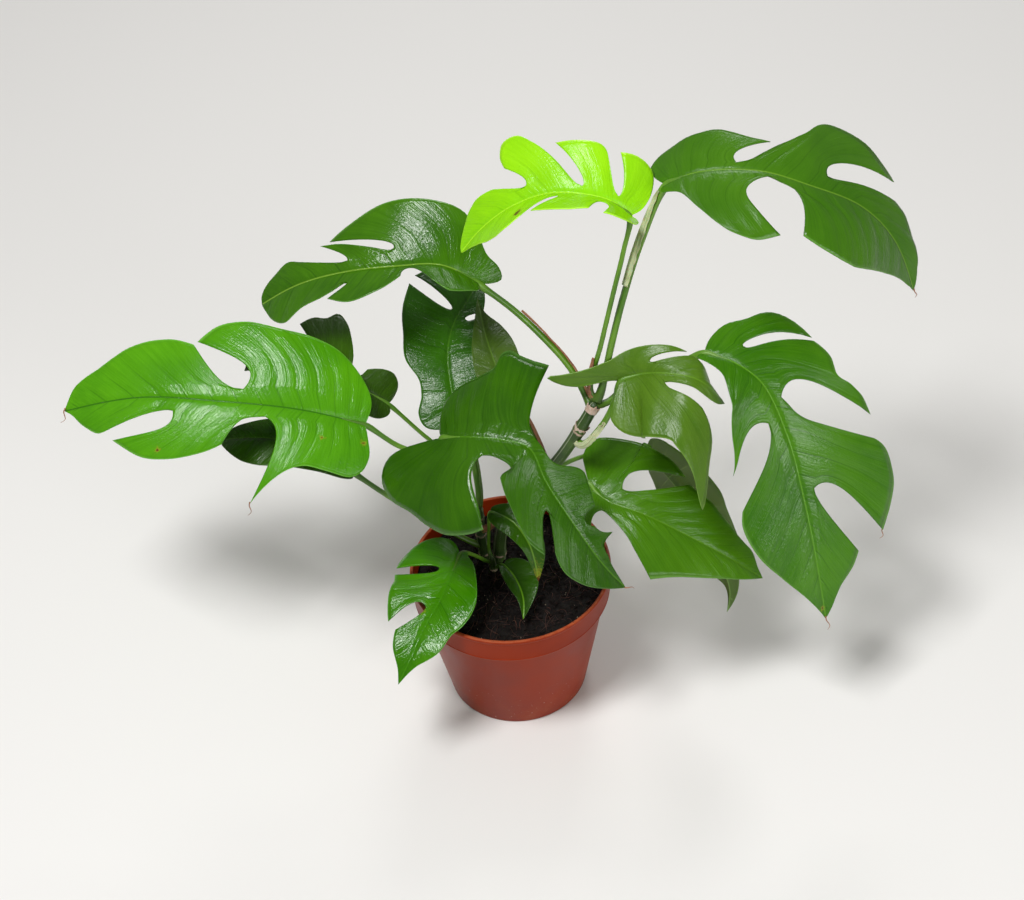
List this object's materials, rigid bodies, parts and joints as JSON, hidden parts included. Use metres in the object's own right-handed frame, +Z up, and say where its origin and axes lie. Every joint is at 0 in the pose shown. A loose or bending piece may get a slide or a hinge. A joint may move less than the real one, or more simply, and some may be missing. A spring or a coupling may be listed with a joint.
{
  "type": "potted mini monstera plant",
  "caption": "Small climbing monstera-like houseplant with split, notched leaves on arching stalks, planted in a thin terracotta-coloured plastic nursery pot.",
  "frame": {"origin": "middle of the underside of the pot, where it stands on the floor", "axes": "+Z up along the pot's axis; -Y is the front, the side that most leaves face; +X is to the right seen from the front"},
  "size_m": [0.4875, 0.207, 0.3589],
  "materials": {
    "pot_plastic": "satin",
    "peat": "matte",
    "stem_skin": "satin",
    "petiole_skin": "satin",
    "leaf_fresh": "gloss",
    "leaf_fresh_deep": "gloss",
    "leaf_deep": "gloss",
    "leaf_olive": "satin",
    "leaf_lime": "gloss",
    "leaf_young": "gloss",
    "sheath_husk": "matte",
    "sheath_pale": "satin",
    "sheath_green": "satin"
  },
  "bodies": {
    "root": {"pot": "pot_plastic", "soil": "peat", "stem_main": "stem_skin", "stem_left": "stem_skin", "stem_short": "stem_skin", "petiole_far_left": "petiole_skin", "petiole_upper_left": "petiole_skin", "petiole_centre_back": "petiole_skin", "petiole_behind_centre": "petiole_skin", "petiole_centre_front": "petiole_skin", "petiole_newest": "petiole_skin", "petiole_upper_right": "petiole_skin", "petiole_far_right": "petiole_skin", "petiole_mid_right": "petiole_skin", "petiole_lower_right": "petiole_skin", "petiole_small_front": "petiole_skin", "petiole_young_front": "petiole_skin", "petiole_young_centre": "petiole_skin", "petiole_hanging_right": "petiole_skin", "petiole_left_back": "petiole_skin", "petiole_left_under": "petiole_skin", "blade_far_left": "leaf_fresh", "blade_upper_left": "leaf_deep", "blade_centre_back": "leaf_deep", "blade_behind_centre": "leaf_olive", "blade_centre_front": "leaf_deep", "blade_newest": "leaf_lime", "blade_upper_right": "leaf_deep", "blade_far_right": "leaf_fresh_deep", "blade_mid_right": "leaf_deep", "blade_lower_right": "leaf_deep", "blade_small_front": "leaf_fresh", "blade_young_front": "leaf_young", "blade_young_centre": "leaf_young", "blade_hanging_right": "leaf_olive", "blade_left_back": "leaf_deep", "blade_left_under": "leaf_deep", "sheath_upper_left": "sheath_husk", "sheath_behind_centre": "sheath_husk", "sheath_upper_right": "sheath_pale", "sheath_newest": "sheath_husk", "sheath_lower_right": "sheath_husk", "sheath_centre_front": "sheath_husk", "sheath_mid_right": "sheath_pale", "sheath_centre_back": "sheath_green"}
  },
  "joints": []
}
